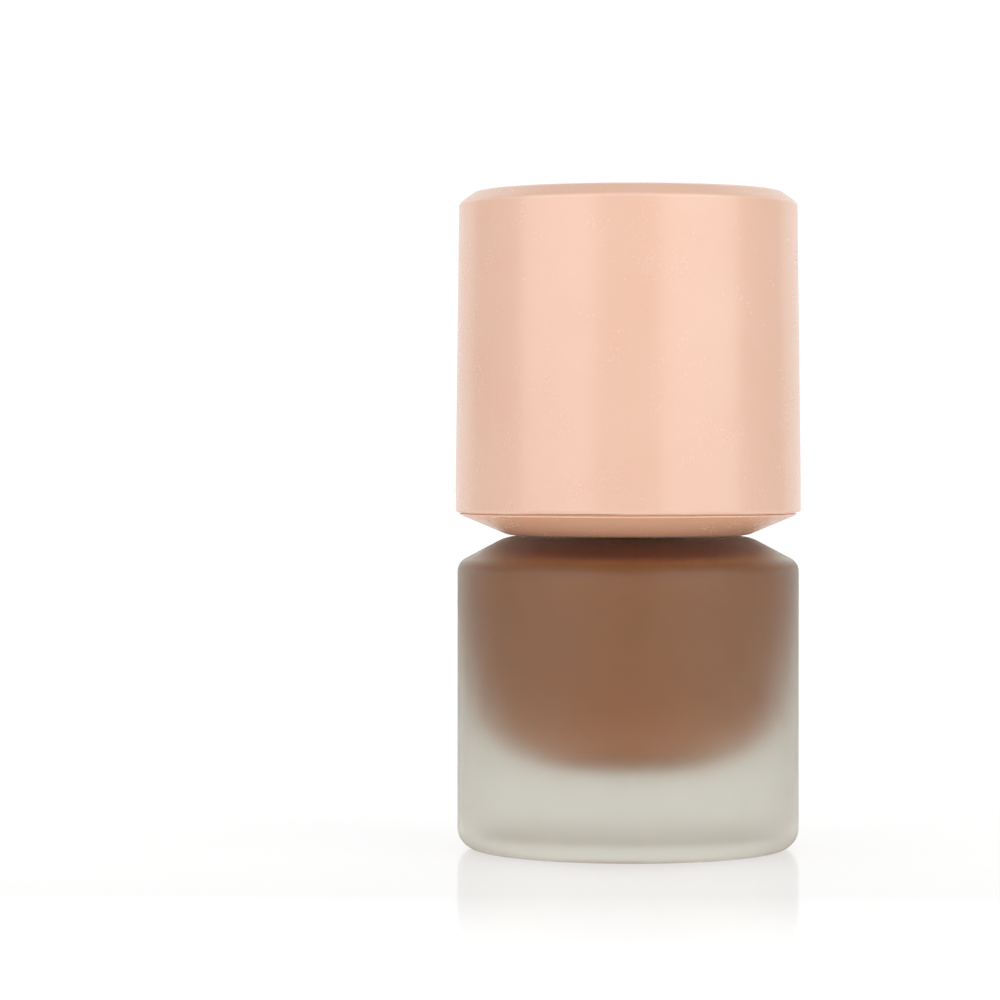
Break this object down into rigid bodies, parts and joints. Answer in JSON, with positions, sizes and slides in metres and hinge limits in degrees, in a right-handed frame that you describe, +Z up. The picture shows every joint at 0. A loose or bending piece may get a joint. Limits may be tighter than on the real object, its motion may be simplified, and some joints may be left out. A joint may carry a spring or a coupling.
{
  "type": "foundation bottle",
  "caption": "Squat frosted glass foundation bottle with a coned shoulder, a screw-on treatment pump and a tall satin pink overcap that pulls off.",
  "frame": {"origin": "centre of the base, on the plane the bottle stands on", "axes": "+Z up along the bottle's axis to the overcap's top; +X is the way the spout points; -Y faces the front"},
  "size_m": [0.0486, 0.0486, 0.0924],
  "materials": {
    "frosted_glass": "frosted",
    "foundation": "opaque cream",
    "satin_pink": "satin",
    "natural_pp": "satin",
    "gasket_foam": "matte",
    "stainless": "polished",
    "label_film": "matte"
  },
  "bodies": {
    "bottle": {"glass_bottle": "frosted_glass", "foundation_fill": "foundation", "shade_label": "label_film"},
    "pump_core": {"pump_housing": "natural_pp", "neck_gasket": "gasket_foam", "dip_tube": "natural_pp", "ball_cage": "natural_pp", "housing_cap": "natural_pp", "return_spring": "stainless"},
    "closure": {"threaded_closure": "natural_pp", "collar_sleeve": "satin_pink"},
    "overcap": {"overcap_shell": "satin_pink", "overcap_base_ring": "satin_pink", "overcap_liner": "natural_pp"},
    "piston": {"piston": "natural_pp"},
    "head": {"stem": "natural_pp", "actuator_core": "natural_pp", "actuator_shell": "satin_pink", "nozzle_insert": "natural_pp"},
    "inlet_valve": {"inlet_ball": "stainless"},
    "outlet_valve": {"outlet_ball": "stainless"}
  },
  "joints": [
    {"name": "pump_rise", "type": "slide", "parent": "bottle", "child": "pump_core", "axis": [0, 0, 1], "range_m": [0, 0.00375]},
    {"name": "collar_turn", "type": "hinge", "parent": "pump_core", "child": "closure", "pos_m": [0, 0, 0.05], "axis": [0, 0, 1], "range_deg": [0, 450]},
    {"name": "overcap_lift", "type": "slide", "parent": "closure", "child": "overcap", "axis": [0, 0, 1], "range_m": [0, 0.045]},
    {"name": "pump_press", "type": "slide", "parent": "pump_core", "child": "piston", "axis": [0, 0, -1], "range_m": [0, 0.005], "stiffness_N_per_m": 900, "springref_m": -0.003, "deforming": ["return_spring"]},
    {"name": "head_turn", "type": "hinge", "parent": "piston", "child": "head", "pos_m": [0, 0, 0.07], "axis": [0, 0, 1], "continuous": true},
    {"name": "inlet_ball_lift", "type": "slide", "parent": "pump_core", "child": "inlet_valve", "axis": [0, 0, 1], "range_m": [0, 0.0008]},
    {"name": "outlet_ball_lift", "type": "slide", "parent": "head", "child": "outlet_valve", "axis": [0, 0, 1], "range_m": [0, 0.0008]}
  ],
  "couplings": [
    {"joint": "collar_turn", "follows": "pump_rise", "rad_per_m": 2094.4}
  ]
}
